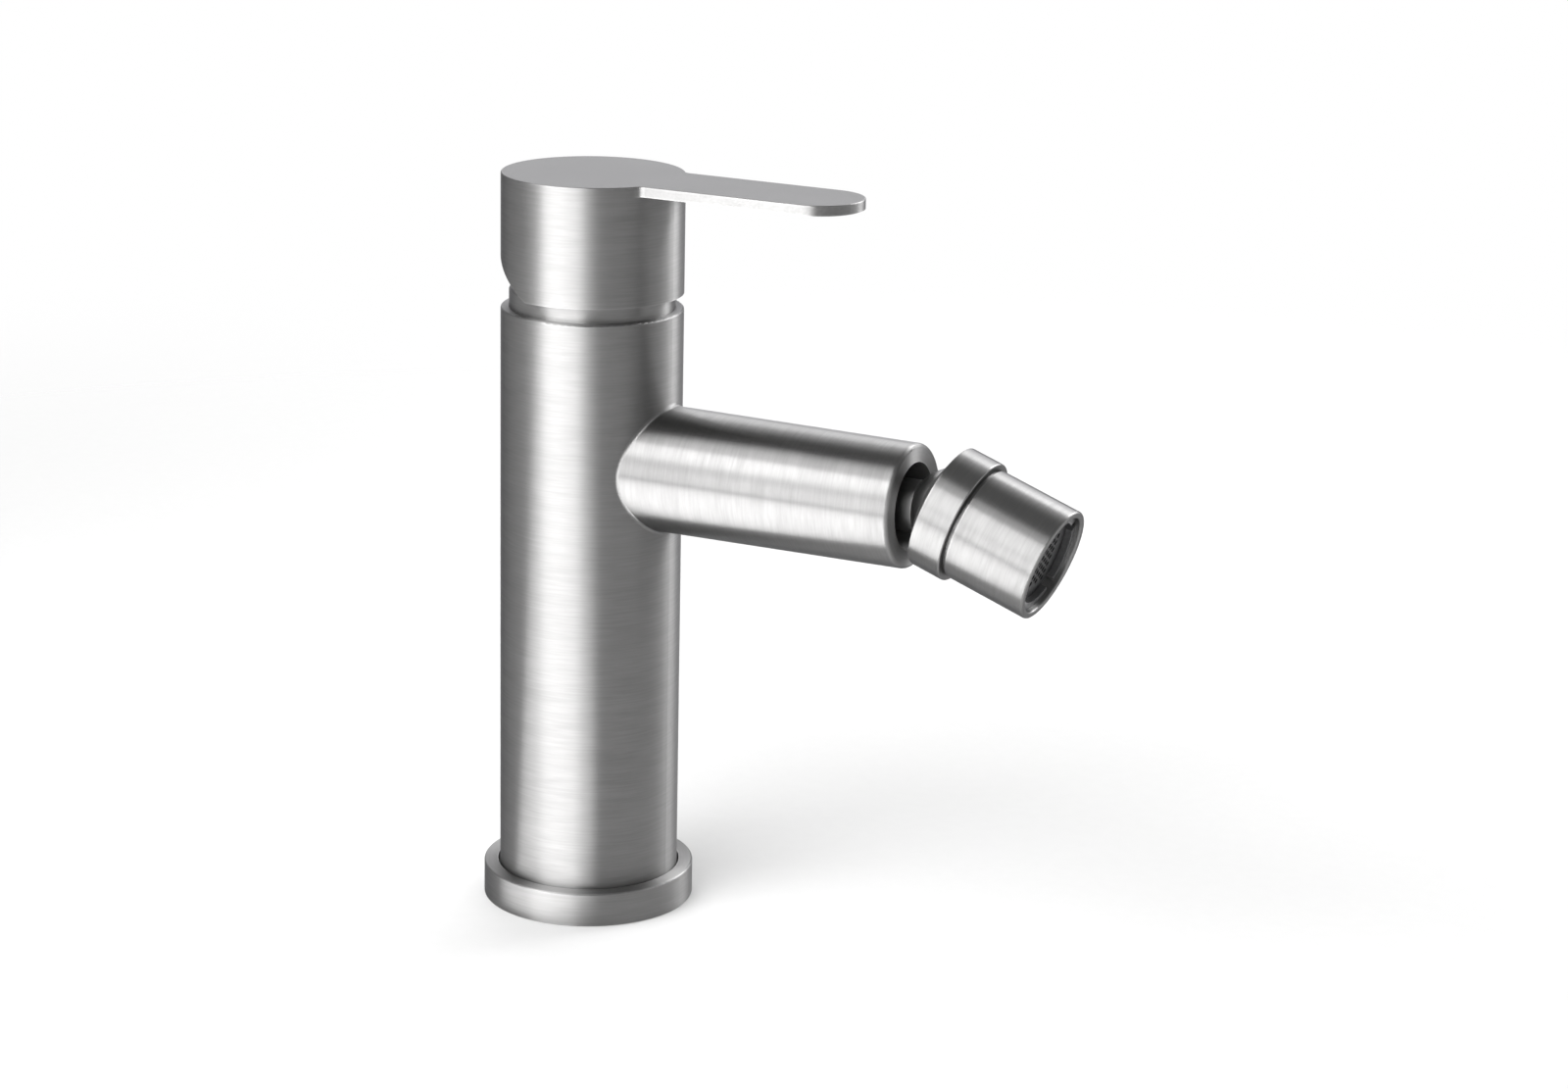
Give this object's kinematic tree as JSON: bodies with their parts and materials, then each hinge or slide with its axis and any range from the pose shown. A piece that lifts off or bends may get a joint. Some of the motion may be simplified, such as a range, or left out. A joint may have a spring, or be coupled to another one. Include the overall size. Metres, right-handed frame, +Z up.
{
  "type": "bidet mixer tap",
  "caption": "Single-lever bidet mixer: upright round body on a base ring, horizontal spout, and a ball-jointed swivel nozzle with aerator.",
  "frame": {"origin": "on the body axis in the plane of the deck, the underside of the base ring", "axes": "+X along the spout and the lever, +Z up along the body"},
  "size_m": [0.1386, 0.0472, 0.1648],
  "materials": {
    "brushed_body": "fine circumferential brushing, satin",
    "brushed_ring": "fine circumferential brushing, satin",
    "brushed_handle": "fine circumferential brushing, satin",
    "brushed_nozzle": "fine brushing round the nozzle, satin",
    "stem_metal": "smooth, semi-bright",
    "trim_metal": "satin",
    "screw_steel": "dark, plain",
    "brass": "machined",
    "black_rubber": "matte",
    "ceramic": "lapped, satin",
    "white_plastic": "moulded",
    "grey_plastic": "moulded",
    "dark_plastic": "moulded",
    "index_red": "moulded"
  },
  "bodies": {
    "mixer": {"body": "brushed_body", "base_ring": "brushed_ring", "base_seal": "black_rubber", "base_gasket": "black_rubber", "trim_ring": "trim_metal", "cartridge_base": "grey_plastic", "hot_seal": "black_rubber", "cold_seal": "black_rubber", "outlet_seal": "black_rubber", "fixed_disc": "ceramic", "cartridge_housing": "white_plastic", "cartridge_oring": "black_rubber", "cartridge_nut": "brass", "ball_stem": "stem_metal", "stem_washer": "black_rubber"},
    "rotor": {"rotor": "grey_plastic", "spindle_pin": "screw_steel"},
    "handle": {"lever_handle": "brushed_handle", "spindle": "brass", "handle_screw": "screw_steel", "index_plug": "index_red"},
    "disc": {"moving_disc": "ceramic", "disc_carrier": "white_plastic"},
    "ball_ring": {"ball_oring": "black_rubber"},
    "seat": {"seat_ring": "white_plastic"},
    "nozzle": {"collar": "brushed_nozzle", "nozzle_housing": "brushed_nozzle", "aerator_washer": "black_rubber", "aerator_filter": "dark_plastic", "aerator_housing": "dark_plastic", "aerator_grid": "dark_plastic"}
  },
  "joints": [
    {"name": "temperature", "type": "hinge", "parent": "mixer", "child": "rotor", "pos_m": [0, 0, 0.129], "axis": [0, 0, 1], "range_deg": [-45, 45]},
    {"name": "flow", "type": "hinge", "parent": "rotor", "child": "handle", "pos_m": [0, 0, 0.129], "axis": [0, 1, 0], "range_deg": [-22, 0]},
    {"name": "disc_slide", "type": "slide", "parent": "rotor", "child": "disc", "axis": [1, 0, 0], "range_m": [0, 0.00265]},
    {"name": "nozzle_roll", "type": "hinge", "parent": "mixer", "child": "ball_ring", "pos_m": [0.088, 0, 0.1012], "axis": [1, 0, 0], "continuous": true},
    {"name": "nozzle_tilt", "type": "hinge", "parent": "ball_ring", "child": "seat", "pos_m": [0.088, 0, 0.1012], "axis": [0, 1, 0], "range_deg": [-39.7, 0.3]},
    {"name": "nozzle_spin", "type": "hinge", "parent": "seat", "child": "nozzle", "pos_m": [0.088, 0, 0.1012], "axis": [0.9415, 0, -0.3371], "continuous": true}
  ],
  "couplings": [
    {"joint": "disc_slide", "follows": "flow", "m_per_rad": -0.0069}
  ]
}
